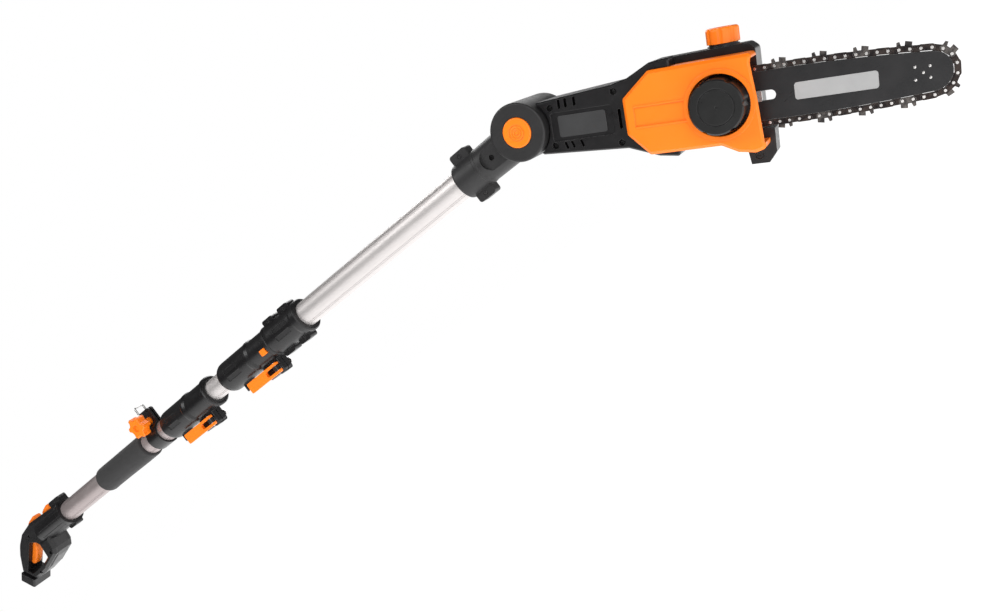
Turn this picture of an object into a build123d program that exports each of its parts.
"""Telescoping battery pole saw: grip, two sliding tube stages, tilting saw head.

Frame: +X runs along the pole from the grip to the head, +Z is up, and the saw
plane is XZ. The orange sprocket cover faces -Y. The origin is on the pole's
axis, on the bare stretch of the lower tube between the handle and the foam.
"""
from build123d import *
import os
from math import atan2, cos, degrees, hypot, pi, radians, sin

os.makedirs("parts", exist_ok=True)

# ---------------------------------------------------------------- driving sizes
outer_radius = 17.5          # lower and upper tube, outside
outer_bore = 16.5            # lower and upper tube, inside
inner_radius = 16.2          # middle tube, outside
inner_bore = 15.0            # middle tube, inside
running_gap = 0.3            # between pieces that move past each other
pin_gap = 0.05               # radial clearance of pins in their bores

lower_tube_start = -150
lower_tube_end = 326
middle_tube_start = -140
middle_tube_end = 860
upper_tube_start = 526
upper_tube_end = 955

mouth_x = -76                # where the lower tube leaves the handle
foam_start, foam_end = 51, 189
foam_radius = 21.7
strap_x = 222                # middle of the shoulder strap clamp
collar_start, collar_end = 250, 369
coupler_start, coupler_joint, coupler_end = 406, 524, 593
socket_start = 905
pivot_x = 1015
head_tilt = 28.85            # the bar points this many degrees below the pole

hub_radius = 32.5
hub_front, hub_split, hub_rear = -44, 8, 44

chain_pitch = 9.525          # rivet to rivet
sprocket_teeth = 8
link_pairs = 33
sprocket_radius = sprocket_teeth * 2 * chain_pitch / (2 * pi)
bar_y = -7                   # middle plane of the guide bar and chain
bar_w = -2                   # bar axis, measured across the head
bar_thickness = 4
nose_u, nose_radius = 412.5, 22
stud_u = 218.8
pad_y = -4.6                 # face of the housing that the guide bar lies on


# ---------------------------------------------------------------- planes
def station(x):
    """Cross-section plane of the pole at x: local axes are Y and Z."""
    return Plane(origin=(x, 0, 0), x_dir=(0, 1, 0), z_dir=(1, 0, 0))


def side(y):
    """Plane across Y, looking from the cover side: local axes are X and Z."""
    return Plane(origin=(0, y, 0), x_dir=(1, 0, 0), z_dir=(0, -1, 0))


tilt_cos, tilt_sin = cos(radians(head_tilt)), sin(radians(head_tilt))


def head(y):
    """Side plane of the tilted head: local axes run along and across the bar."""
    return Plane(origin=(pivot_x, y, 0), x_dir=(tilt_cos, 0, -tilt_sin), z_dir=(0, -1, 0))


def head_point(u, w, y):
    """Place of a point given along and across the bar."""
    return (pivot_x + u * tilt_cos + w * tilt_sin, y, -u * tilt_sin + w * tilt_cos)


def head_station(u, w=0, y=0):
    """Plane across the bar direction: local axes are Y and the across-bar one."""
    return Plane(origin=head_point(u, w, y), x_dir=(0, 1, 0), z_dir=(tilt_cos, 0, -tilt_sin))


def head_level(w, u=0, y=0):
    """Plane at height w above the bar axis: local axes are the bar's and +Y."""
    return Plane(origin=head_point(u, w, y), x_dir=(tilt_cos, 0, -tilt_sin),
                 z_dir=(tilt_sin, 0, tilt_cos))


def turned(profile):
    """Revolve a closed profile of (x, radius) points about the pole's axis."""
    with BuildSketch(Plane.XZ) as outline:
        with BuildLine():
            Polyline(*profile, close=True)
        make_face()
    return revolve(outline.sketch, axis=Axis.X)


def screws(plane, places, head_radius, head_height, shank_radius, shank_length):
    """Pan-head screws with a cross recess, heads up from the plane's face."""
    with BuildPart() as group:
        with BuildSketch(plane):
            with Locations(*places):
                Circle(head_radius)
        extrude(amount=head_height)
        with BuildSketch(plane):
            with Locations(*places):
                Circle(shank_radius)
        extrude(amount=-shank_length)
        with BuildSketch(plane.offset(head_height)):
            with Locations(*places):
                Rectangle(head_radius * 1.2, 0.7)
                Rectangle(0.7, head_radius * 1.2)
        extrude(amount=-head_height / 2, mode=Mode.SUBTRACT)
    return group.part


# ================================================================ tubes
groove_angles = [place + step for place in (48, 132, 228, 312) for step in (-4, 4)]


def tube(start, end, radius, bore):
    """Extruded aluminium tube with pairs of fine grooves along it."""
    with BuildPart() as pipe:
        with BuildSketch(station(start)):
            Circle(radius)
            Circle(bore, mode=Mode.SUBTRACT)
            for angle in groove_angles:
                with PolarLocations(radius, 1, start_angle=angle):
                    Rectangle(0.7, 0.8, mode=Mode.SUBTRACT)
        extrude(amount=end - start)
    return pipe.part


with BuildPart() as lower_tube:
    add(tube(lower_tube_start, lower_tube_end, outer_radius, outer_bore))
lower_tube.part.label = "lower_tube"
export_step(lower_tube.part, "parts/lower_tube.step")

with BuildPart() as middle_tube:
    add(tube(middle_tube_start, middle_tube_end, inner_radius, inner_bore))
middle_tube.part.label = "middle_tube"
export_step(middle_tube.part, "parts/middle_tube.step")

with BuildPart() as upper_tube:
    add(tube(upper_tube_start, upper_tube_end, outer_radius, outer_bore))
upper_tube.part.label = "upper_tube"
export_step(upper_tube.part, "parts/upper_tube.step")

# Flanged guide plugs at both ends of the middle tube.
plug_flange, plug_depth, plug_bore = 6, 20, 9
plug_radius = outer_bore - pin_gap
with BuildPart() as slide_plugs:
    for end, outward in ((middle_tube_start, -1), (middle_tube_end, 1)):
        add(turned([(end - outward * plug_depth, plug_bore), (end - outward * plug_depth, inner_bore),
                    (end, inner_bore), (end, plug_radius), (end + outward * plug_flange, plug_radius),
                    (end + outward * plug_flange, plug_bore)]))
slide_plugs.part.label = "slide_plugs"
export_step(slide_plugs.part, "parts/slide_plugs.step")

with BuildPart() as foam_grip:
    with BuildSketch(station(foam_start)):
        Circle(foam_radius)
    extrude(amount=foam_end - foam_start)
    fillet(foam_grip.edges().filter_by(GeomType.CIRCLE), radius=3.5)
    with BuildSketch(station(foam_start - 1)):
        Circle(outer_radius)
    extrude(amount=foam_end - foam_start + 2, mode=Mode.SUBTRACT)
foam_grip.part.label = "foam_grip"
export_step(foam_grip.part, "parts/foam_grip.step")

# ================================================================ shoulder strap clamp
band_width, band_radius = 26, 20.5
ear_inner, ear_outer, ear_top = 1.6, 4.6, 45
strap_bolt_z = 27
strap_eye_z = 40.5

with BuildPart() as strap_clamp:
    with BuildSketch(station(strap_x - band_width / 2)):
        Circle(band_radius)
        for face in (-1, 1):
            with Locations((face * (ear_inner + ear_outer) / 2, (outer_radius + ear_top) / 2)):
                Rectangle(ear_outer - ear_inner, ear_top - outer_radius)
        Circle(outer_radius, mode=Mode.SUBTRACT)
        with Locations((0, outer_radius + 2)):
            Rectangle(2 * ear_inner, 8, mode=Mode.SUBTRACT)
    extrude(amount=band_width)
    ear_corners = strap_clamp.edges().filter_by(Axis.Y).group_by(Axis.Z)[-1]
    fillet(ear_corners, radius=4)
    with BuildSketch(side(10)):
        with Locations((strap_x, strap_bolt_z)):
            Circle(3.1)
        with Locations((strap_x + 7, strap_eye_z), (strap_x - 7, strap_eye_z)):
            Circle(1.5)
    extrude(amount=20, mode=Mode.SUBTRACT)
strap_clamp.part.label = "strap_clamp"
export_step(strap_clamp.part, "parts/strap_clamp.step")

# Bolt with a square head behind the far ear.
bolt_tip_y = -30
with BuildPart() as strap_bolt:
    with BuildSketch(side(ear_outer)):
        with Locations((strap_x, strap_bolt_z)):
            Circle(3.0)
    extrude(amount=ear_outer - bolt_tip_y)
    with BuildSketch(side(ear_outer + 4)):
        with Locations((strap_x, strap_bolt_z)):
            RegularPolygon(radius=5.5, side_count=6)
    extrude(amount=4)
strap_bolt.part.label = "strap_bolt"
export_step(strap_bolt.part, "parts/strap_bolt.step")

# Six-lobed clamping knob with a threaded blind bore and a raised hub.
knob_back, knob_front, knob_lobe = -20, -34, 17
with BuildPart() as star_knob:
    with BuildSketch(side(knob_back)):
        with Locations((strap_x, strap_bolt_z)):
            Circle(knob_lobe)
            with PolarLocations(knob_lobe + 3.5, 6, start_angle=15):
                Circle(7.5, mode=Mode.SUBTRACT)
    extrude(amount=knob_back - knob_front)
    fillet(star_knob.edges().filter_by(Axis.Y), radius=1.6)
    chamfer(star_knob.faces().sort_by(Axis.Y)[0].edges(), length=1.2)
    with BuildSketch(side(-ear_outer - running_gap)):
        with Locations((strap_x, strap_bolt_z)):
            Circle(6)
    extrude(amount=-ear_outer - running_gap - knob_back)
    with BuildSketch(side(-4)):
        with Locations((strap_x, strap_bolt_z)):
            Circle(3.0 + pin_gap)
    extrude(amount=-bolt_tip_y - 3.6, mode=Mode.SUBTRACT)
    with BuildSketch(side(knob_front + 2.4)):
        with Locations((strap_x, strap_bolt_z)):
            Circle(5.5)
    extrude(amount=3, mode=Mode.SUBTRACT)
star_knob.part.label = "star_knob"
export_step(star_knob.part, "parts/star_knob.step")

# Bent wire loop that swings between the two ears and takes the strap's hook.
wire = 1.45
loop_reach = 15
with BuildPart() as strap_ring:
    with BuildLine() as loop_route:
        FilletPolyline((strap_x - 7, -8, strap_eye_z), (strap_x - 7, 8.5, strap_eye_z),
                       (strap_x - 7, 8.5, strap_eye_z + loop_reach),
                       (strap_x - 7, -8.5, strap_eye_z + loop_reach),
                       (strap_x - 7, -8.5, strap_eye_z + 3.5), radius=3)
    with BuildSketch(Plane(origin=loop_route.line @ 0, z_dir=loop_route.line % 0)):
        Circle(wire)
    sweep()
strap_ring.part.label = "strap_ring"
export_step(strap_ring.part, "parts/strap_ring.step")

# ================================================================ telescope clamps
lever_length, lever_width, lever_thickness = 68, 16, 5
lever_front = -17            # outer face of a closed lever
pin_y = lever_front + 3
pin_radius = 2
lever_z = -33                # middle of the lever, below the tube
ear_face = -6
fork_slot, fork_depth = 8, 24
lever_end_gap = 6.5          # from the pin to the end of the fork arms


def clamp_sleeve(start, end, ring, bore_step, closed_bore):
    """Flared sleeve with a stepped bore, a shoulder ring and a mouth lip."""
    flare, body = 23.2, 22
    with BuildPart() as sleeve:
        add(turned([(start, 17.9), (start, 20), (start + 1.5, 21.6), (start + 5, flare - 0.3),
                    (start + 9, flare), (ring - 3, flare), (ring, flare + 0.9), (ring + 4, flare + 0.9),
                    (ring + 8, body), (end - 9, body), (end - 6.5, body + 2), (end - 1.5, body + 2),
                    (end, body + 0.3), (end, 18)]))
        with BuildSketch(station(start)):
            Circle(closed_bore)
        extrude(amount=bore_step - start, mode=Mode.SUBTRACT)
    return sleeve.part


def sleeve_grooves(x, length, radius):
    """Pairs of shallow recessed panels on both sides of a sleeve."""
    with BuildPart() as cutter:
        for angle in (160, 190, 20, 350):
            with BuildSketch(station(x)):
                with PolarLocations(radius, 1, start_angle=angle):
                    Rectangle(1.6, 6.5)
            extrude(amount=length)
    return cutter.part


def clamp_block(lever_x):
    """Ear block below a sleeve that the lever's bolt pulls together."""
    block_start = lever_x + lever_length - 36
    with BuildPart() as block:
        with BuildSketch(station(block_start)):
            with Locations((4, -28)):
                RectangleRounded(20, 28, 4)
        extrude(amount=33)
        fillet(block.faces().sort_by(Axis.X)[-1].edges(), radius=3)
        for rib in range(3):
            with BuildSketch(station(block_start + 21 + rib * 4)):
                with Locations((5, -29)):
                    RectangleRounded(21, 29, 4)
            extrude(amount=1.6)
        with BuildSketch(station(lever_x - 16)):
            with Locations((1, -27)):
                RectangleRounded(13, 13, 2)
        extrude(amount=13)
    return block.part


def clamp_lever(lever_x):
    """Forked lever that swings out sideways about its pin."""
    end = lever_x + lever_length
    with BuildPart() as lever:
        with BuildSketch(side(lever_front + lever_thickness)):
            with Locations((lever_x + lever_length / 2, lever_z)):
                RectangleRounded(lever_length, lever_width, 2)
            with Locations((end - fork_depth / 2, lever_z)):
                RectangleRounded(fork_depth + 6, fork_slot, 2.5, mode=Mode.SUBTRACT)
            with Locations((end + 2, lever_z)):
                Rectangle(10, fork_slot, mode=Mode.SUBTRACT)
        extrude(amount=lever_thickness)
        with BuildSketch(Plane.XY.offset(lever_z - lever_width)):
            with Locations((end - lever_end_gap, pin_y)):
                Circle(pin_radius + pin_gap)
        extrude(amount=2 * lever_width, mode=Mode.SUBTRACT)
    return lever.part


def lever_pin(lever_x):
    """Headed pin along Z through the fork arms."""
    with BuildPart() as pin:
        with BuildSketch(Plane.XY.offset(lever_z - lever_width / 2 - 0.6)):
            with Locations((lever_x + lever_length - lever_end_gap, pin_y)):
                Circle(pin_radius)
        extrude(amount=lever_width + 1.2)
    return pin.part


def toggle_bolt(lever_x):
    """Eye bolt: an eye on the lever's pin and a shank through the clamp ears."""
    x = lever_x + lever_length - lever_end_gap
    with BuildPart() as bolt:
        with BuildSketch(Plane.XY.offset(lever_z - 3.4)):
            with Locations((x, pin_y)):
                Circle(4.2)
        extrude(amount=6.8)
        with BuildSketch(side(pin_y)):
            with Locations((x, lever_z)):
                Circle(2.5)
        extrude(amount=-35.5)
        with BuildSketch(side(ear_face)):
            with Locations((x, lever_z)):
                RectangleRounded(9, 6.8, 1)
        extrude(amount=-pin_y + ear_face - 3)
        with BuildSketch(Plane.XY.offset(lever_z - 4)):
            with Locations((x, pin_y)):
                Circle(pin_radius)
        extrude(amount=8, mode=Mode.SUBTRACT)
    return bolt.part


def toggle_nut(lever_x):
    """Lock nut on the far side of the clamp ears."""
    with BuildPart() as nut:
        with BuildSketch(side(20.1)):
            with Locations((lever_x + lever_length - lever_end_gap, lever_z)):
                RegularPolygon(radius=5.2, side_count=6)
                Circle(2.5, mode=Mode.SUBTRACT)
        extrude(amount=4.5)
    return nut.part


def shank_hole(lever_x):
    """Bore for the eye bolt through both ears."""
    with BuildPart() as bore:
        with BuildSketch(side(30)):
            with Locations((lever_x + lever_length - lever_end_gap, lever_z)):
                Circle(2.5)
        extrude(amount=50)
    return bore.part


def clamp_slit(start, length):
    """Slit between the clamp's ears, opening the sleeve's lower side."""
    with BuildPart() as slit:
        with BuildSketch(station(start)):
            with Locations((4, -31)):
                Rectangle(1.6, 30)
        extrude(amount=length)
    return slit.part


lower_lever_x = 277
with BuildPart() as lower_collar:
    add(clamp_sleeve(collar_start, collar_end, 312, lower_tube_end, outer_radius))
    add(clamp_block(lower_lever_x))
    with BuildSketch(station(lower_lever_x - 20)):
        Circle(inner_radius + running_gap)
    extrude(amount=collar_end - lower_lever_x + 21, mode=Mode.SUBTRACT)
    with BuildSketch(station(collar_start - 1)):
        Circle(outer_radius)
    extrude(amount=lower_tube_end - collar_start + 1, mode=Mode.SUBTRACT)
    add(sleeve_grooves(268, 26, 23.2), mode=Mode.SUBTRACT)
    add(clamp_slit(334, 40), mode=Mode.SUBTRACT)
    add(shank_hole(lower_lever_x), mode=Mode.SUBTRACT)
lower_collar.part.label = "lower_collar"
export_step(lower_collar.part, "parts/lower_collar.step")

with BuildPart() as lower_lever:
    add(clamp_lever(lower_lever_x))
lower_lever.part.label = "lower_lever"
export_step(lower_lever.part, "parts/lower_lever.step")

with BuildPart() as lower_lever_pin:
    add(lever_pin(lower_lever_x))
lower_lever_pin.part.label = "lower_lever_pin"
export_step(lower_lever_pin.part, "parts/lower_lever_pin.step")

with BuildPart() as lower_eye_bolt:
    add(toggle_bolt(lower_lever_x))
lower_eye_bolt.part.label = "lower_eye_bolt"
export_step(lower_eye_bolt.part, "parts/lower_eye_bolt.step")

with BuildPart() as lower_clamp_nut:
    add(toggle_nut(lower_lever_x))
lower_clamp_nut.part.label = "lower_clamp_nut"
export_step(lower_clamp_nut.part, "parts/lower_clamp_nut.step")

# ================================================================ upper coupler
upper_lever_x = 442
button_x, button_z, button_width, button_height = 509, -5, 11, 9
button_travel = 2

with BuildPart() as coupler_sleeve:
    add(clamp_sleeve(coupler_start, coupler_joint, 474, coupler_joint, inner_radius + running_gap))
    add(clamp_block(upper_lever_x))
    with BuildSketch(station(coupler_start - 1)):
        Circle(inner_radius + running_gap)
    extrude(amount=coupler_joint - coupler_start + 2, mode=Mode.SUBTRACT)
    add(sleeve_grooves(425, 30, 23.2), mode=Mode.SUBTRACT)
    add(clamp_slit(484, 33), mode=Mode.SUBTRACT)
    add(shank_hole(upper_lever_x), mode=Mode.SUBTRACT)
    with BuildSketch(side(-19.8 + button_travel + 0.2)):
        with Locations((button_x, button_z)):
            RectangleRounded(button_width + 0.6, button_height + 0.6, 1.2)
    extrude(amount=10, mode=Mode.SUBTRACT)
coupler_sleeve.part.label = "coupler_sleeve"
export_step(coupler_sleeve.part, "parts/coupler_sleeve.step")

# Square latch button that is pressed in towards the middle tube.
with BuildPart() as release_button:
    with BuildSketch(side(-19.8)):
        with Locations((button_x, button_z)):
            RectangleRounded(button_width, button_height, 1)
    extrude(amount=3.6)
    fillet(release_button.faces().sort_by(Axis.Y)[0].edges(), radius=0.8)
release_button.part.label = "release_button"
export_step(release_button.part, "parts/release_button.step")

with BuildPart() as upper_lever:
    add(clamp_lever(upper_lever_x))
upper_lever.part.label = "upper_lever"
export_step(upper_lever.part, "parts/upper_lever.step")

with BuildPart() as upper_lever_pin:
    add(lever_pin(upper_lever_x))
upper_lever_pin.part.label = "upper_lever_pin"
export_step(upper_lever_pin.part, "parts/upper_lever_pin.step")

with BuildPart() as upper_eye_bolt:
    add(toggle_bolt(upper_lever_x))
upper_eye_bolt.part.label = "upper_eye_bolt"
export_step(upper_eye_bolt.part, "parts/upper_eye_bolt.step")

with BuildPart() as upper_clamp_nut:
    add(toggle_nut(upper_lever_x))
upper_clamp_nut.part.label = "upper_clamp_nut"
export_step(upper_clamp_nut.part, "parts/upper_clamp_nut.step")

# Two half shells hold the upper tube in the coupler.
lug_spots = [(571, 24.2), (536.5, 23.8), (571, -24.2), (536.5, -23.8)]
lug_length, lug_height = 22, 11
shell_screw_head, shell_screw_shank = 3.2, 1.7

with BuildPart() as coupler_body:
    add(turned([(coupler_joint, 17), (coupler_joint, 23.4), (coupler_joint + 5, 23.8),
                (coupler_end - 14, 23.2), (coupler_end - 10, 24.4), (coupler_end - 2, 24.4),
                (coupler_end, 23), (coupler_end, 17)]))
    for x, z in lug_spots:
        with BuildSketch(side(8)):
            with Locations((x, z)):
                RectangleRounded(lug_length, lug_height, 3.5)
        extrude(amount=16)
    with BuildSketch(station(coupler_joint)):
        Circle(outer_radius)
    extrude(amount=coupler_end - coupler_joint, mode=Mode.SUBTRACT)
    add(sleeve_grooves(543, 30, 23.6), mode=Mode.SUBTRACT)
    with BuildSketch(side(-5.5)):
        with Locations(*lug_spots):
            Circle(shell_screw_head)
    extrude(amount=4, mode=Mode.SUBTRACT)
    with BuildSketch(side(6)):
        with Locations(*lug_spots):
            Circle(shell_screw_shank)
    extrude(amount=14, mode=Mode.SUBTRACT)

with BuildPart() as coupler_shell_front:
    add(coupler_body.part)
    split(bisect_by=Plane.XZ, keep=Keep.TOP)
coupler_shell_front.part.label = "coupler_shell_front"
export_step(coupler_shell_front.part, "parts/coupler_shell_front.step")

with BuildPart() as coupler_shell_rear:
    add(coupler_body.part)
    split(bisect_by=Plane.XZ, keep=Keep.BOTTOM)
coupler_shell_rear.part.label = "coupler_shell_rear"
export_step(coupler_shell_rear.part, "parts/coupler_shell_rear.step")

with BuildPart() as coupler_screws:
    add(screws(side(-5.5), lug_spots, shell_screw_head, 2, shell_screw_shank, 11.5))
coupler_screws.part.label = "coupler_screws"
export_step(coupler_screws.part, "parts/coupler_screws.step")

# ================================================================ head socket on the upper tube
socket_lugs = [(923, 26), (923, -26)]
socket_radius = 22.5
axle_radius = 8

with BuildPart() as socket_body:
    add(turned([(socket_start, 0), (socket_start, socket_radius - 0.8), (socket_start + 2, socket_radius),
                (936, socket_radius), (937, socket_radius + 0.5), (940, socket_radius + 0.5),
                (941, socket_radius), (pivot_x, socket_radius + 1), (pivot_x, 0)]))
    with BuildSketch(side(hub_split)):
        with Locations((pivot_x, 0)):
            Circle(hub_radius)
    extrude(amount=hub_split - hub_front)
    fillet(socket_body.edges().filter_by(GeomType.CIRCLE).sort_by(Axis.Y)[0], radius=2.5)
    for x, z in socket_lugs:
        with BuildSketch(side(8)):
            with Locations((x, z)):
                RectangleRounded(25, 13, 3.5)
        extrude(amount=16)
    # Free the rear knuckle's space, scoop the front flat and open its drain hole.
    with BuildSketch(side(hub_rear + 2)):
        with Locations((pivot_x, 0)):
            Circle(hub_radius + 2.5)
    extrude(amount=hub_rear + 2 - hub_split, mode=Mode.SUBTRACT)
    with BuildSketch(side(-18.5)):
        with Locations((979, 0)):
            SlotOverall(64, 31)
        with Locations((pivot_x, 0)):
            Circle(hub_radius, mode=Mode.SUBTRACT)
    extrude(amount=20, mode=Mode.SUBTRACT)
    with BuildSketch(side(-13)):
        with Locations((961, 0)):
            Circle(3.4)
    extrude(amount=10, mode=Mode.SUBTRACT)
    with BuildSketch(station(socket_start)):
        Circle(outer_radius)
    extrude(amount=upper_tube_end - socket_start, mode=Mode.SUBTRACT)
    # Button well and pivot bore.
    with BuildSketch(side(hub_front + 16)):
        with Locations((pivot_x, 0)):
            Circle(17.1)
    extrude(amount=18, mode=Mode.SUBTRACT)
    with BuildSketch(side(hub_split)):
        with Locations((pivot_x, 0)):
            Circle(axle_radius)
    extrude(amount=hub_split - hub_front, mode=Mode.SUBTRACT)
    with BuildSketch(side(-5.5)):
        with Locations(*socket_lugs):
            Circle(shell_screw_head)
    extrude(amount=4, mode=Mode.SUBTRACT)
    with BuildSketch(side(6)):
        with Locations(*socket_lugs):
            Circle(shell_screw_shank)
    extrude(amount=14, mode=Mode.SUBTRACT)

with BuildPart() as socket_shell_front:
    add(socket_body.part)
    split(bisect_by=Plane.XZ, keep=Keep.TOP)
socket_shell_front.part.label = "socket_shell_front"
export_step(socket_shell_front.part, "parts/socket_shell_front.step")

with BuildPart() as socket_shell_rear:
    add(socket_body.part)
    split(bisect_by=Plane.XZ, keep=Keep.BOTTOM)
socket_shell_rear.part.label = "socket_shell_rear"
export_step(socket_shell_rear.part, "parts/socket_shell_rear.step")

with BuildPart() as socket_screws:
    add(screws(side(-5.5), socket_lugs, shell_screw_head, 2, shell_screw_shank, 11.5))
socket_screws.part.label = "socket_screws"
export_step(socket_screws.part, "parts/socket_screws.step")

# Shouldered pivot bolt: fixed in the socket, running in the head's knuckle.
with BuildPart() as pivot_axle:
    with BuildSketch(side(hub_rear - 3)):
        with Locations((pivot_x, 0)):
            Circle(axle_radius)
    extrude(amount=hub_rear - 3 + 22)
    with BuildSketch(side(hub_rear - 3)):
        with Locations((pivot_x, 0)):
            Circle(13)
    extrude(amount=-3)
    with BuildSketch(side(hub_rear - 3)):
        with Locations((pivot_x, 0)):
            RegularPolygon(radius=4, side_count=6)
    extrude(amount=6, both=True, mode=Mode.SUBTRACT)
pivot_axle.part.label = "pivot_axle"
export_step(pivot_axle.part, "parts/pivot_axle.step")

# Round release button with concentric rings and a guide skirt.
button_radius, pivot_button_travel = 16.6, 5
with BuildPart() as pivot_button:
    with BuildSketch(side(-34.5)):
        with Locations((pivot_x, 0)):
            Circle(button_radius)
    extrude(amount=11)
    fillet(pivot_button.faces().sort_by(Axis.Y)[0].edges(), radius=1.6)
    for ring_radius in (3.2, 6.2, 9.2):
        with BuildSketch(side(-45.5)):
            with Locations((pivot_x, 0)):
                Circle(ring_radius)
                Circle(ring_radius - 1.4, mode=Mode.SUBTRACT)
        extrude(amount=-0.7, mode=Mode.SUBTRACT)
    with BuildSketch(side(-34.5)):
        with Locations((pivot_x, 0)):
            Circle(13.5)
    extrude(amount=6, mode=Mode.SUBTRACT)
pivot_button.part.label = "pivot_button"
export_step(pivot_button.part, "parts/pivot_button.step")

# ================================================================ motor housing
front_y, rear_y = -31, 33
neck_points = [(20, 27), (108, 34), (126, 38), (151, 50), (172, 52), (172, -49), (150, -46),
               (118, -34), (20, -29)]
body_points = [(20, 27), (108, 34), (126, 38), (151, 50), (247, 52), (254, 46), (254.5, -20),
               (246, -46), (150, -46), (118, -34), (20, -29)]
cover_points = [(120, 18), (150, 42.5), (255.5, 43.8), (253, 34), (256.5, 0), (259.6, -50.8),
                (249, -54), (232, -51.4), (216, -43), (142, -43), (120.3, -19.5)]
cover_corner = 4.5
motor_u, motor_radius, motor_length = 74, 21, 56
housing_screw_spots = [(37, 19.5), (110, 27), (37, -21), (112, -27)]
label_spot = (71, -1.5)
gear_u = 171
shaft_radius, stud_radius, stud_root_y = 5, 4, 1.5
tank_u, tank_neck_u = 229, 220
tank_length = 40
tank_front, tank_back, tank_top = 3, 27, 44


def housing_outline(points, corner):
    """Closed outline in the head's side plane with rounded corners."""
    with BuildSketch() as outline:
        with BuildLine():
            Polyline(*points, close=True)
        make_face()
        fillet(outline.vertices(), radius=corner)
    return outline.sketch


def head_slab(sketch, y_front, y_back):
    """Extrude a side outline of the head between two depths."""
    with BuildPart() as slab:
        with BuildSketch(head(y_back)):
            add(sketch)
        extrude(amount=y_back - y_front)
    return slab.part


def head_disc(u, w, radius, y_front, y_back):
    """Cylinder across the head."""
    with BuildPart() as disc:
        with BuildSketch(head(y_back)):
            with Locations((u, w)):
                Circle(radius)
        extrude(amount=y_back - y_front)
    return disc.part


# Hollow that both housing shells share: motor bay, shaft way and gear chamber.
gear_front, gear_back = -1.8, 27.5
motor_y = 6
with BuildPart() as housing_hollow:
    with BuildSketch(head(gear_back)):
        with Locations((motor_u, 1)):
            RectangleRounded(66, 52, 6)
    extrude(amount=gear_back + 17)
    with BuildSketch(head(14)):
        with Locations((120, bar_w)):
            Rectangle(60, 22)
    extrude(amount=14 - gear_front)
    add(head_disc(gear_u, bar_w, 35, gear_front, gear_back))
    for rib_u in (motor_u - 24, motor_u + 20):
        with BuildSketch(head_station(rib_u, bar_w, motor_y)):
            Rectangle(70, 70)
            Circle(motor_radius, mode=Mode.SUBTRACT)
        extrude(amount=3, mode=Mode.SUBTRACT)

with BuildPart() as motor_housing_front:
    add(head_slab(housing_outline(neck_points, 3), front_y, pad_y))
    front_rim = motor_housing_front.faces().sort_by(Axis.Y)[0].edges()
    chamfer(front_rim, length=1.6)
    add(head_slab(offset(housing_outline(cover_points, cover_corner), 0.3, kind=Kind.INTERSECTION),
                  front_y - 1, pad_y), mode=Mode.SUBTRACT)
    add(head_disc(0, 0, hub_radius + 1.5, front_y - 1, hub_split), mode=Mode.SUBTRACT)
    add(housing_hollow.part, mode=Mode.SUBTRACT)
    # Recessed panel for the rating plate, vents and screw wells.
    with BuildSketch(head(front_y)):
        with Locations(label_spot):
            RectangleRounded(70, 31, 3)
    extrude(amount=-1.4, mode=Mode.SUBTRACT)
    with BuildSketch(head(front_y)):
        for number, vent_u in enumerate((48, 55.5, 65.5)):
            with Locations((vent_u, 22.5 + number * 0.5)):
                RectangleRounded(3, 10, 1.4)
        for vent_u in (50, 57.5, 68):
            with Locations(Location((vent_u, -22), 18)):
                RectangleRounded(2.6, 8.5, 1.2)
    extrude(amount=-10, mode=Mode.SUBTRACT)
    with BuildSketch(head(front_y)):
        with Locations((113.5, -2)):
            RectangleRounded(3.2, 21, 1.5)
    extrude(amount=-20, mode=Mode.SUBTRACT)
    with BuildSketch(head(front_y)):
        with Locations(*housing_screw_spots):
            Circle(3.6)
    extrude(amount=-8, mode=Mode.SUBTRACT)
    with BuildSketch(head(front_y)):
        with Locations(*housing_screw_spots):
            Circle(1.6)
    extrude(amount=front_y - pad_y, mode=Mode.SUBTRACT)
motor_housing_front.part.label = "motor_housing_front"
export_step(motor_housing_front.part, "parts/motor_housing_front.step")

with BuildPart() as tank_bay:
    with BuildSketch(head(tank_back + 0.3)):
        with Locations((tank_u, 8)):
            RectangleRounded(tank_length + 0.6, 2 * (tank_top - 8) + 0.6, 3.3)
    extrude(amount=tank_back - tank_front + 0.6)
    with BuildSketch(head_level(tank_top - 4, tank_neck_u, 15)):
        Circle(12)
    extrude(amount=30)

with BuildPart() as motor_housing_rear:
    add(head_slab(housing_outline(body_points, 6), pad_y, rear_y))
    chamfer(motor_housing_rear.faces().sort_by(Axis.Y)[-1].edges(), length=4)
    with BuildSketch(head_level(tank_top - 4, tank_neck_u, 15)):
        Circle(16.5)
    extrude(amount=13)
    add(head_disc(0, 0, hub_radius, hub_split + running_gap, hub_rear))
    with BuildSketch(head(hub_rear)):
        with Locations((20, 0)):
            Rectangle(40, 50)
    extrude(amount=hub_rear - hub_split - running_gap)
    add(head_disc(0, 0, hub_radius + 1.5, pad_y - 1, hub_split + running_gap), mode=Mode.SUBTRACT)
    add(head_disc(0, 0, axle_radius + pin_gap, 0, hub_rear + 1), mode=Mode.SUBTRACT)
    add(head_disc(0, 0, 13 + pin_gap, hub_rear - 3 - pin_gap, hub_rear + 1), mode=Mode.SUBTRACT)
    add(housing_hollow.part, mode=Mode.SUBTRACT)
    add(head_disc(gear_u, bar_w, shaft_radius + pin_gap, pad_y - 1, rear_y - 3), mode=Mode.SUBTRACT)
    add(head_disc(stud_u, bar_w, stud_radius, pad_y - 1, stud_root_y), mode=Mode.SUBTRACT)
    add(tank_bay.part, mode=Mode.SUBTRACT)
motor_housing_rear.part.label = "motor_housing_rear"
export_step(motor_housing_rear.part, "parts/motor_housing_rear.step")

# ================================================================ motor and gears
with BuildPart() as housing_screws:
    add(screws(head(front_y + 8), housing_screw_spots, 3.4, 2.2, 1.6, 17))
housing_screws.part.label = "housing_screws"
export_step(housing_screws.part, "parts/housing_screws.step")

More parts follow.
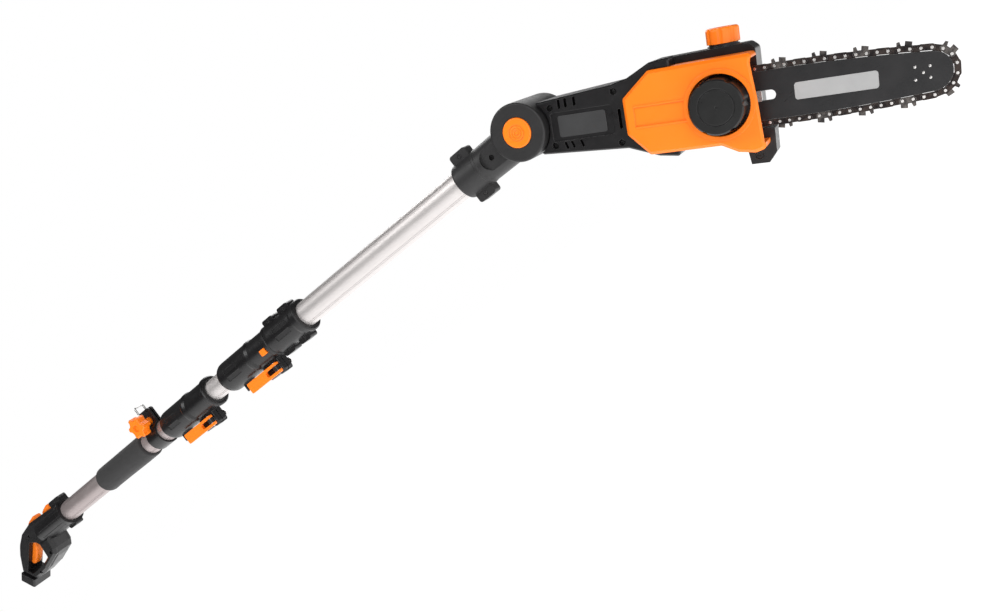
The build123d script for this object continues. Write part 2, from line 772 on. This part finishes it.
with BuildPart() as label_plate:
    with BuildSketch(head(front_y + 1.4)):
        with Locations(label_spot):
            RectangleRounded(54, 23, 2.5)
    extrude(amount=0.8)
label_plate.part.label = "label_plate"
export_step(label_plate.part, "parts/label_plate.step")

with BuildPart() as motor:
    with BuildSketch(head_station(motor_u - motor_length / 2, bar_w, motor_y)):
        Circle(motor_radius - 0.5)
    extrude(amount=motor_length)
    fillet(motor.edges().filter_by(GeomType.CIRCLE), radius=2)
    with BuildSketch(head_station(motor_u - 6, bar_w, motor_y)):
        Circle(motor_radius)
    extrude(amount=8)
    with BuildSketch(head_station(motor_u - motor_length / 2, bar_w, motor_y)):
        Circle(6)
    extrude(amount=-3)
    with BuildSketch(head_station(motor_u + motor_length / 2 + 3, bar_w, motor_y)):
        Circle(3 + pin_gap)
    extrude(amount=-motor_length / 2, mode=Mode.SUBTRACT)
motor.part.label = "motor"
export_step(motor.part, "parts/motor.step")

# Face gear on the sprocket shaft, driven by the motor's pinion at a quarter of its speed.
pinion_teeth, gear_teeth, pitch_radius = 10, 40, 26
pinion_radius = pitch_radius * pinion_teeth / gear_teeth
gear_face = motor_y + pinion_radius + 1.4
mesh_u = gear_u - pitch_radius
with BuildPart() as pinion:
    with BuildSketch(head_station(motor_u + 4, bar_w, motor_y)):
        Circle(3)
    extrude(amount=mesh_u - motor_u - 7)
    with BuildSketch(head_station(mesh_u - 4, bar_w, motor_y)):
        Circle(pinion_radius - 1.4)
        with PolarLocations(pinion_radius - 0.6, pinion_teeth):
            Rectangle(2.6, 1.4)
    extrude(amount=8)
pinion.part.label = "pinion"
export_step(pinion.part, "parts/pinion.step")

with BuildPart() as crown_gear:
    add(head_disc(gear_u, bar_w, pitch_radius + 4, gear_face, gear_face + 8))
    with BuildSketch(head(gear_face)):
        with Locations((gear_u, bar_w)):
            with PolarLocations(pitch_radius, gear_teeth, start_angle=180 / gear_teeth):
                Rectangle(8, 1.4)
    extrude(amount=1.2)
    add(head_disc(gear_u, bar_w, 9, gear_face - 3, gear_face))
    add(head_disc(gear_u, bar_w, shaft_radius, gear_face - 4, gear_face + 9), mode=Mode.SUBTRACT)
crown_gear.part.label = "crown_gear"
export_step(crown_gear.part, "parts/crown_gear.step")

tang_depth = 8
# Rim sprocket: two rims that carry the chain, with a groove for its tangs between them.
with BuildPart() as drive_sprocket:
    add(head_disc(gear_u, bar_w, sprocket_radius - tang_depth - 1.2, bar_y - 2, bar_y + 1.6))
    add(head_disc(gear_u, bar_w, sprocket_radius - 3.7, bar_y - 2.3, bar_y - 0.9))
    add(head_disc(gear_u, bar_w, sprocket_radius - 3.7, bar_y + 0.9, bar_y + 1.9))
    add(head_disc(gear_u, bar_w, shaft_radius, bar_y - 5, rear_y - 3.5))
    add(head_disc(gear_u, bar_w, 8, bar_y - 3.3, bar_y - 2.3))
drive_sprocket.part.label = "drive_sprocket"
export_step(drive_sprocket.part, "parts/drive_sprocket.step")

stud_tip_y = -30
with BuildPart() as bar_stud:
    add(head_disc(stud_u, bar_w, stud_radius, stud_tip_y, stud_root_y))
    chamfer(bar_stud.faces().sort_by(Axis.Y)[0].edges(), length=0.8)
bar_stud.part.label = "bar_stud"
export_step(bar_stud.part, "parts/bar_stud.step")

# ================================================================ guide bar and chain
slot_front, slot_back, slot_width = 208, 270, 10
rail_inset, bar_tail_u = 2.8, 204
bow = 27.5                   # half height of the chain loop at mid length


def chain_loop():
    """Closed rivet line around the sprocket and the bar, starting behind the sprocket."""
    middle_u = (gear_u + nose_u) / 2
    with BuildLine() as loop:
        CenterArc((gear_u, 0), sprocket_radius, 180, -90)
        ThreePointArc((gear_u, sprocket_radius), (middle_u, bow), (nose_u, nose_radius))
        CenterArc((nose_u, 0), nose_radius, 90, -180)
        ThreePointArc((nose_u, -nose_radius), (middle_u, -bow), (gear_u, -sprocket_radius))
        CenterArc((gear_u, 0), sprocket_radius, 270, -90)
    return Wire(loop.edges())


rivet_line = chain_loop()
link_count = 2 * link_pairs
rivets = [rivet_line @ (((step + 0.5) % link_count) / link_count) for step in range(link_count)]


def link_pose(step):
    """Middle and heading of the link that follows a rivet."""
    start, end = rivets[step % link_count], rivets[(step + 1) % link_count]
    heading = degrees(atan2(end.Y - start.Y, end.X - start.X))
    return Location(((start.X + end.X) / 2, bar_w + (start.Y + end.Y) / 2), heading)


def link_row(outline, steps, y_front, y_back):
    """The same link outline laid on several places of the loop."""
    with BuildPart() as row:
        with BuildSketch(head(y_back)):
            with Locations(*[link_pose(step) for step in steps]):
                add(outline)
        extrude(amount=y_back - y_front)
    return row.part


link_height, link_rise = 6, 0.3
with BuildSketch() as side_link:
    with Locations((0, link_rise)):
        SlotOverall(chain_pitch + link_height, link_height)
with BuildSketch() as drive_link:
    with Locations((0, link_rise)):
        SlotOverall(chain_pitch + link_height - 0.6, link_height - 0.6)
    with BuildLine():
        Polyline((-4.6, 0), (4.6, 0), (4, -4), (2, -tang_depth), (-1, -tang_depth), (-3.6, -4), close=True)
    make_face()
with BuildSketch() as cutter:
    with Locations((0, link_rise)):
        SlotOverall(chain_pitch + link_height, link_height)
    with BuildLine():
        Polyline((-7, 0), (-7, 6.4), (-4.4, 7.2), (-3, 3.3), (0.2, 3.3), (0.6, 7.6),
                 (7, 6.4), (6.4, 0), close=True)
    make_face()

drive_steps = range(link_count - 1, 2 * link_count - 1, 2)
outer_steps = list(range(0, link_count, 2))
front_cutters, rear_cutters = outer_steps[1::4], outer_steps[3::4]
drive_half, side_half = 0.7, 2.0
with BuildPart() as chain_drive_links:
    add(link_row(drive_link.sketch, drive_steps, bar_y - drive_half, bar_y + drive_half))
chain_drive_links.part.label = "chain_drive_links"
export_step(chain_drive_links.part, "parts/chain_drive_links.step")

side_inner = drive_half + 0.05
with BuildPart() as chain_side_links:
    add(link_row(side_link.sketch, [step for step in outer_steps if step not in front_cutters],
                 bar_y - side_half, bar_y - side_inner))
    add(link_row(side_link.sketch, [step for step in outer_steps if step not in rear_cutters],
                 bar_y + side_inner, bar_y + side_half))
    with BuildSketch(head(bar_y + side_half + 1)):
        with Locations(*[(point.X, bar_w + point.Y) for point in rivets]):
            Circle(1.4)
    extrude(amount=2 * side_half + 2, mode=Mode.SUBTRACT)
chain_side_links.part.label = "chain_side_links"
export_step(chain_side_links.part, "parts/chain_side_links.step")

with BuildPart() as chain_cutters:
    add(link_row(cutter.sketch, front_cutters, bar_y - side_half, bar_y - side_inner))
    add(link_row(cutter.sketch, rear_cutters, bar_y + side_inner, bar_y + side_half))
    with BuildSketch(head(bar_y + side_half + 1)):
        with Locations(*[(point.X, bar_w + point.Y) for point in rivets]):
            Circle(1.4)
    extrude(amount=2 * side_half + 2, mode=Mode.SUBTRACT)
chain_cutters.part.label = "chain_cutters"
export_step(chain_cutters.part, "parts/chain_cutters.step")

with BuildPart() as chain_rivets:
    for y_front, y_back in ((bar_y - side_half - 0.3, bar_y - side_inner),
                            (bar_y + side_inner, bar_y + side_half + 0.2)):
        with BuildSketch(head(y_back)):
            with Locations(*[(point.X, bar_w + point.Y) for point in rivets]):
                Circle(1.4)
        extrude(amount=y_back - y_front)
chain_rivets.part.label = "chain_rivets"
export_step(chain_rivets.part, "parts/chain_rivets.step")

def bar_outline(inset):
    """Outline of the guide bar, a given distance inside the rivet line."""
    edge, nose = bow - inset, nose_radius - inset - 0.4
    tail = sprocket_radius - inset + 0.5
    with BuildSketch() as outline:
        with BuildLine():
            ThreePointArc((gear_u, tail + bar_w), ((gear_u + nose_u) / 2, edge + bar_w),
                          (nose_u, nose + bar_w))
            ThreePointArc((nose_u, nose + bar_w), (nose_u + nose, bar_w), (nose_u, bar_w - nose))
            ThreePointArc((nose_u, bar_w - nose), ((gear_u + nose_u) / 2, bar_w - edge),
                          (gear_u, bar_w - tail))
            Line((gear_u, bar_w - tail), (gear_u, tail + bar_w))
        make_face()
        with Locations((gear_u, bar_w)):
            Rectangle(2 * (bar_tail_u - gear_u), 80, mode=Mode.SUBTRACT)
    return outline.sketch


with BuildPart() as guide_bar:
    add(head_slab(bar_outline(rail_inset + 0.3), bar_y - bar_thickness / 2, bar_y + bar_thickness / 2))
    with BuildSketch(head(bar_y + drive_half + 0.3)):
        add(bar_outline(rail_inset - 1))
        add(bar_outline(tang_depth + 0.6), mode=Mode.SUBTRACT)
    extrude(amount=2 * drive_half + 0.6, mode=Mode.SUBTRACT)
    with BuildSketch(head(bar_y + 5)):
        with Locations(((slot_front + slot_back) / 2, bar_w)):
            SlotOverall(slot_back - slot_front, slot_width)
    extrude(amount=10, mode=Mode.SUBTRACT)
guide_bar.part.label = "guide_bar"
export_step(guide_bar.part, "parts/guide_bar.step")

# Tensioner plate with a tongue in the bar's slot.
with BuildPart() as tension_tab:
    with BuildSketch(head(bar_y - 2.1)):
        with Locations((246.3, bar_w)):
            RectangleRounded(20.6, 11, 2)
    extrude(amount=2)
    add(head_disc(250, bar_w, 4.6, bar_y - 2.1, bar_y + 1.6))
tension_tab.part.label = "tension_tab"
export_step(tension_tab.part, "parts/tension_tab.step")

# ================================================================ sprocket cover and its knob
cover_front, rim_front, cover_wall = -38, -40.5, 2.5
window_radius, rim_radius = 31, 35.5
knob_radius, knob_base_radius = 27.5, 29.5
spinner_front, spinner_back = -57, -19
with BuildPart() as sprocket_cover:
    add(head_slab(housing_outline(cover_points, cover_corner), cover_front, pad_y))
    chamfer(sprocket_cover.faces().sort_by(Axis.Y)[0].edges(), length=3.2)
    with BuildSketch(head(cover_front)):
        with Locations((stud_u, bar_w)):
            Circle(rim_radius)
    extrude(amount=cover_front - rim_front)
    # Chain way, open to the front, and an overhanging lip at that open end.
    with BuildSketch(head(pad_y + 1)):
        with Locations((259, -3)):
            Rectangle(26, 84)
    extrude(amount=pad_y + 1 + 35.5, mode=Mode.SUBTRACT)
    add(head_disc(gear_u, bar_w, sprocket_radius + 9, -17, pad_y + 1), mode=Mode.SUBTRACT)
    with BuildSketch(head(pad_y + 1)):
        with Locations((gear_u + 60, bar_w)):
            Rectangle(120, 2 * (bow + 7.5))
    extrude(amount=pad_y + 1 + 17, mode=Mode.SUBTRACT)
    with BuildSketch(head(-15)):
        with Locations((gear_u - 8, bar_w)):
            RectangleRounded(44, 46, 6)
    extrude(amount=-cover_front - cover_wall - 15, mode=Mode.SUBTRACT)
    # Round window for the knob, with a floor that the knob clamps.
    add(head_disc(stud_u, bar_w, window_radius, -60, spinner_back + running_gap), mode=Mode.SUBTRACT)
    add(head_disc(stud_u, bar_w, 11.5, -60, -10), mode=Mode.SUBTRACT)
    # Sunk band with two ribs, in place of any lettering.
    with BuildSketch(head(cover_front)):
        with Locations((159.5, -2.3)):
            Rectangle(57, 19.6)
        with Locations((stud_u, bar_w)):
            Circle(rim_radius, mode=Mode.SUBTRACT)
    extrude(amount=-1.2, mode=Mode.SUBTRACT)
    with BuildSketch(head(cover_front + 1.2)):
        for rib_w in (8.5, -13):
            with Locations((159.5, rib_w)):
                Rectangle(57, 1.6)
        with Locations((stud_u, bar_w)):
            Circle(rim_radius, mode=Mode.SUBTRACT)
    extrude(amount=2)
sprocket_cover.part.label = "sprocket_cover"
export_step(sprocket_cover.part, "parts/sprocket_cover.step")

with BuildPart() as tension_knob:
    add(head_disc(stud_u, bar_w, knob_radius, spinner_front, spinner_back - 8))
    chamfer(tension_knob.faces().sort_by(Axis.Y)[0].edges(), length=1.6)
    with BuildSketch(head(spinner_back - 8)):
        with Locations((stud_u, bar_w)):
            with PolarLocations(knob_radius + 3.4, 6):
                Circle(5)
    extrude(amount=40, mode=Mode.SUBTRACT)
    with BuildSketch(head(spinner_front)):
        with Locations((stud_u, bar_w)):
            Circle(18.6)
            Circle(17.2, mode=Mode.SUBTRACT)
            Circle(1.4)
    extrude(amount=-1, mode=Mode.SUBTRACT)
    add(head_disc(stud_u, bar_w, knob_base_radius - 1.2, spinner_back - 8, spinner_back))
    with BuildSketch(head(spinner_back)):
        with Locations((stud_u, bar_w)):
            with PolarLocations(knob_base_radius - 1.4, 60):
                Rectangle(2.2, 1.5)
    extrude(amount=8)
    add(head_disc(stud_u, bar_w, 9, spinner_back, bar_y - 2 - 0.4))
    add(head_disc(stud_u, bar_w, 10.5, spinner_back, spinner_back + 3))
    add(head_disc(stud_u, bar_w, stud_radius + pin_gap, stud_tip_y - 0.5, 0), mode=Mode.SUBTRACT)
tension_knob.part.label = "tension_knob"
export_step(tension_knob.part, "parts/tension_knob.step")

# ================================================================ oil tank, cap and bumper
tank_mid = (tank_front + tank_back) / 2
neck_radius, neck_top = 12, 64
with BuildPart() as oil_tank:
    with BuildSketch(head(tank_back)):
        with Locations((tank_u, 8)):
            RectangleRounded(tank_length, 2 * (tank_top - 8), 3)
    extrude(amount=tank_back - tank_front)
    with BuildSketch(head_level(tank_top - 1, tank_neck_u, tank_mid)):
        Circle(neck_radius - 0.1)
    extrude(amount=neck_top - tank_top + 1)
    with BuildSketch(head_level(53.2, tank_neck_u, tank_mid)):
        Circle(15)
    extrude(amount=1.2)
    with BuildSketch(head(tank_back - 1.8)):
        with Locations((tank_u, 8)):
            RectangleRounded(tank_length - 3.6, 2 * (tank_top - 8) - 3.6, 1.5)
    extrude(amount=tank_back - tank_front - 3.6, mode=Mode.SUBTRACT)
    with BuildSketch(head_level(tank_top - 4, tank_neck_u, tank_mid)):
        Circle(neck_radius - 2)
    extrude(amount=30, mode=Mode.SUBTRACT)
oil_tank.part.label = "oil_tank"
export_step(oil_tank.part, "parts/oil_tank.step")

cap_base, cap_top, cap_radius = 54.9, 70.8, 17
with BuildPart() as oil_cap:
    with BuildSketch(head_level(cap_base, tank_neck_u, tank_mid)):
        Circle(cap_radius)
    extrude(amount=cap_top - cap_base)
    fillet(oil_cap.faces().sort_by(Axis((0, 0, 0), (tilt_sin, 0, tilt_cos)))[-1].edges(), radius=3)
    with BuildSketch(head_level(cap_base, tank_neck_u, tank_mid)):
        with PolarLocations(cap_radius + 2.2, 8):
            Circle(3.6)
    extrude(amount=cap_top - cap_base, mode=Mode.SUBTRACT)
    with BuildSketch(head_level(cap_top, tank_neck_u, tank_mid)):
        Circle(11)
        Rectangle(22, 4, mode=Mode.SUBTRACT)
    extrude(amount=-2.5, mode=Mode.SUBTRACT)
    with BuildSketch(head_level(cap_base, tank_neck_u, tank_mid)):
        Circle(neck_radius + 0.2)
    extrude(amount=neck_top - cap_base + 0.4, mode=Mode.SUBTRACT)
oil_cap.part.label = "oil_cap"
export_step(oil_cap.part, "parts/oil_cap.step")

# Branch stop: ribbed steel-backed bracket screwed to the front of the housing.
bumper_screw_spot = (246.8, -61.8)
with BuildPart() as bumper:
    with BuildSketch(head(20)):
        with BuildLine():
            Polyline((250.5, -34), (265, -36), (264.8, -60), (256.5, -70.5), (238.3, -70.5),
                     (236.2, -57), (240, -46.4), (246.4, -46.4), close=True)
        make_face()
    extrude(amount=20 - pad_y)
    with BuildSketch(head(pad_y)):
        with Locations(bumper_screw_spot):
            Circle(4.2)
    extrude(amount=-3, mode=Mode.SUBTRACT)
    with BuildSketch(head(pad_y)):
        with Locations(bumper_screw_spot):
            Circle(1.8)
    extrude(amount=-16, mode=Mode.SUBTRACT)
bumper.part.label = "bumper"
export_step(bumper.part, "parts/bumper.step")

with BuildPart() as bumper_screw:
    add(screws(head(pad_y + 3), [bumper_screw_spot], 3.8, 2.2, 1.8, 12))
bumper_screw.part.label = "bumper_screw"
export_step(bumper_screw.part, "parts/bumper_screw.step")

# ================================================================ handle
grip_half, strut_half, barrel_radius, flange_radius = 16, 20.5, 22, 23
handle_start = -168
handle_outline = [(-84, 22), (-175, 26.5), (-213, 20), (-235, 9), (-250, -3), (-265, -20), (-274.4, -31.6),
                  (-253.6, -58.4), (-232, -59), (-198, -56), (-168, -49), (-155, -44), (-149, -36),
                  (-145, -20.5), (-84, -20.5)]
hand_hole = [(-176, -19), (-185, -8), (-201.5, 0.8), (-258, -38), (-250, -47), (-210, -46), (-180, -39)]
strut_outline = [(-177, -12), (-145, -12), (-149, -36), (-157, -45), (-205, -56), (-205, -46), (-181, -39)]
lug_boxes = [(-88, 24, 32, 16), (-85, -19, 20, 15)]
lug_screw_spots = [(-88, 28), (-85, -22.6)]
body_screw_spots = [(-192, 9), (-163, -37), (-228, -53)]
trigger_plane = Plane(origin=(-203.6, 0, -0.6), x_dir=(-0.829, 0, -0.559), z_dir=(0, -1, 0))
foot_plane = Plane(origin=(-264, 0, -45), x_dir=(0.61, 0, -0.79), z_dir=(-0.79, 0, -0.61))
trigger_half, slider_half, slider_travel = 7, 6, 6
pads = [(-137, -108), (-190, -158)]
slider_low, slider_high, pad_top = 19.5, 22.5, 33
trigger_pin_spot, trigger_pin_radius = (6, -2), 2
switch_u, switch_v, switch_length, switch_height = 23, -16.4, 26, 7.2


def across(plane, half):
    """The plane moved so that an extrusion of twice the half width is centred on it."""
    return plane.offset(-half)


with BuildPart() as strut_body:
    with BuildSketch(side(strut_half)):
        with BuildLine():
            Polyline(*strut_outline, close=True)
        make_face()
    extrude(amount=2 * strut_half)
    chamfer(strut_body.faces().filter_by(Axis.Y).edges(), length=4)

with BuildPart() as handle_body:
    with BuildSketch(side(grip_half)):
        with BuildLine():
            Polyline(*handle_outline, close=True)
        make_face()
    extrude(amount=2 * grip_half)
    chamfer(handle_body.faces().filter_by(Axis.Y).edges(), length=5)
    add(strut_body.part)
    with BuildSketch(side(grip_half + 8)):
        with BuildLine():
            Polyline(*hand_hole, close=True)
        make_face()
    extrude(amount=2 * grip_half + 16, mode=Mode.SUBTRACT)
    add(turned([(handle_start, 0), (handle_start, 18), (handle_start + 5, barrel_radius),
                (mouth_x - 12, barrel_radius), (mouth_x - 10, flange_radius), (mouth_x, flange_radius),
                (mouth_x, 0)]))
    for x, z, length, height in lug_boxes:
        with BuildSketch(side(8)):
            with Locations((x, z)):
                RectangleRounded(length, height, 4)
        extrude(amount=16)
    with BuildSketch(station(handle_start + 14)):
        for angle in (150, 176, 206):
            with PolarLocations(barrel_radius, 1, start_angle=angle):
                Rectangle(1.8, 1.2)
    extrude(amount=90, mode=Mode.SUBTRACT)
    with BuildSketch(station(lower_tube_start)):
        Circle(outer_radius)
    extrude(amount=mouth_x - lower_tube_start + 1, mode=Mode.SUBTRACT)
    with BuildSketch(station(handle_start - 10)):
        Circle(6)
    extrude(amount=30, mode=Mode.SUBTRACT)
    # Slot of the lock-off slider with a window for each thumb pad.
    with BuildSketch(side(slider_half + running_gap)):
        with Locations(((pads[1][0] + pads[0][1] + slider_travel) / 2, (slider_low + slider_high) / 2)):
            Rectangle(pads[0][1] - pads[1][0] + slider_travel + 2 * running_gap,
                      slider_high - slider_low + 2 * running_gap)
        for back, front in pads:
            with Locations(((back + front + slider_travel) / 2, slider_high + 10)):
                Rectangle(front - back + slider_travel + 2 * running_gap, 20)
    extrude(amount=2 * (slider_half + running_gap), mode=Mode.SUBTRACT)
    # Trigger pocket, its pin bore and the bay of the switch.
    with BuildSketch(across(trigger_plane, trigger_half + running_gap)):
        with BuildLine():
            Polyline((1.5, 10), (1.5, -6.6), (12, -8.5), (53, -13), (53, 10), close=True)
        make_face()
    extrude(amount=2 * (trigger_half + running_gap), mode=Mode.SUBTRACT)
    with BuildSketch(across(trigger_plane, 11)):
        with Locations(trigger_pin_spot):
            Circle(trigger_pin_radius)
    extrude(amount=22, mode=Mode.SUBTRACT)
    with BuildSketch(across(trigger_plane, 5)):
        with Locations((switch_u, switch_v)):
            Rectangle(switch_length, switch_height)
    extrude(amount=10, mode=Mode.SUBTRACT)
    with BuildSketch(side(-5.5)):
        with Locations(*lug_screw_spots):
            Circle(shell_screw_head)
    extrude(amount=20, mode=Mode.SUBTRACT)
    with BuildSketch(side(6)):
        with Locations(*lug_screw_spots):
            Circle(shell_screw_shank)
    extrude(amount=20, mode=Mode.SUBTRACT)
    with BuildSketch(side(-12)):
        with Locations(*body_screw_spots):
            Circle(shell_screw_head)
    extrude(amount=20, mode=Mode.SUBTRACT)
    with BuildSketch(side(4)):
        with Locations(*body_screw_spots):
            Circle(shell_screw_shank)
    extrude(amount=20, mode=Mode.SUBTRACT)
    with BuildSketch(foot_plane):
        Rectangle(80, 80)
    extrude(amount=30, mode=Mode.SUBTRACT)

with BuildPart() as handle_shell_front:
    add(handle_body.part)
    split(bisect_by=Plane.XZ, keep=Keep.TOP)
handle_shell_front.part.label = "handle_shell_front"
export_step(handle_shell_front.part, "parts/handle_shell_front.step")

with BuildPart() as handle_shell_rear:
    add(handle_body.part)
    split(bisect_by=Plane.XZ, keep=Keep.BOTTOM)
handle_shell_rear.part.label = "handle_shell_rear"
export_step(handle_shell_rear.part, "parts/handle_shell_rear.step")

with BuildPart() as handle_screws:
    add(screws(side(-5.5), lug_screw_spots, shell_screw_head, 2, shell_screw_shank, 11.5))
    add(screws(side(-12), body_screw_spots, shell_screw_head, 2, shell_screw_shank, 16))
handle_screws.part.label = "handle_screws"
export_step(handle_screws.part, "parts/handle_screws.step")

with BuildPart() as trigger:
    with BuildSketch(across(trigger_plane, trigger_half)):
        with BuildLine():
            Polyline((2.2, -5), (2.2, 3), (9, 8.6), (20, 10.4), (38, 10.4), (49, 8), (52.2, 3), (52.2, -5),
                     close=True)
        make_face()
    extrude(amount=2 * trigger_half)
    chamfer(trigger.faces().filter_by(Axis.Y).edges(), length=1.6)
    with BuildSketch(across(trigger_plane, 11)):
        with Locations(trigger_pin_spot):
            Circle(trigger_pin_radius + pin_gap)
    extrude(amount=22, mode=Mode.SUBTRACT)
trigger.part.label = "trigger"
export_step(trigger.part, "parts/trigger.step")

with BuildPart() as trigger_pin:
    with BuildSketch(across(trigger_plane, 11)):
        with Locations(trigger_pin_spot):
            Circle(trigger_pin_radius)
    extrude(amount=22)
trigger_pin.part.label = "trigger_pin"
export_step(trigger_pin.part, "parts/trigger_pin.step")

with BuildPart() as switch_module:
    with BuildSketch(across(trigger_plane, 5)):
        with Locations((switch_u, switch_v)):
            Rectangle(switch_length, switch_height)
    extrude(amount=10)
switch_module.part.label = "switch_module"
export_step(switch_module.part, "parts/switch_module.step")

with BuildPart() as lock_off_slider:
    with BuildSketch(side(slider_half)):
        with Locations(((pads[1][0] + pads[0][1]) / 2, (slider_low + slider_high) / 2)):
            Rectangle(pads[0][1] - pads[1][0], slider_high - slider_low)
        for back, front in pads:
            with BuildLine():
                Polyline((back, slider_high - 1), (back + 2, pad_top - 5), (back + 8, pad_top - 3),
                         (front - 8, pad_top), (front - 2, pad_top - 1.4), (front, slider_high - 1),
                         close=True)
            make_face()
    extrude(amount=2 * slider_half)
    chamfer(lock_off_slider.faces().filter_by(Axis.Y).edges().filter_by(
        lambda edge: edge.center().Z > pad_top - 5.5), length=1.2)
lock_off_slider.part.label = "lock_off_slider"
export_step(lock_off_slider.part, "parts/lock_off_slider.step")

# ================================================================ battery foot
foot_length, foot_width, foot_height = 32, 38, 16
rail_depth, rail_low, rail_high = 3, 5, 9
pocket_width, rail_end_wall = 24, 6
with BuildPart() as battery_foot:
    with BuildSketch(foot_plane):
        RectangleRounded(foot_length, foot_width, 3)
    extrude(amount=foot_height)
    with BuildSketch(foot_plane.offset(rail_low)):
        with Locations((-rail_end_wall, 0)):
            Rectangle(foot_length, pocket_width + 2 * rail_depth)
    extrude(amount=rail_high - rail_low, mode=Mode.SUBTRACT)
    with BuildSketch(foot_plane.offset(rail_low)):
        with Locations((-rail_end_wall, 0)):
            Rectangle(foot_length, pocket_width)
    extrude(amount=foot_height, mode=Mode.SUBTRACT)
battery_foot.part.label = "battery_foot"
export_step(battery_foot.part, "parts/battery_foot.step")

with BuildPart() as battery_contacts:
    with BuildSketch(foot_plane.offset(foot_height - 11)):
        with Locations((4, 0)):
            with GridLocations(1, 5, 1, 4):
                Rectangle(10, 0.8)
    extrude(amount=9)
battery_contacts.part.label = "battery_contacts"
export_step(battery_contacts.part, "parts/battery_contacts.step")
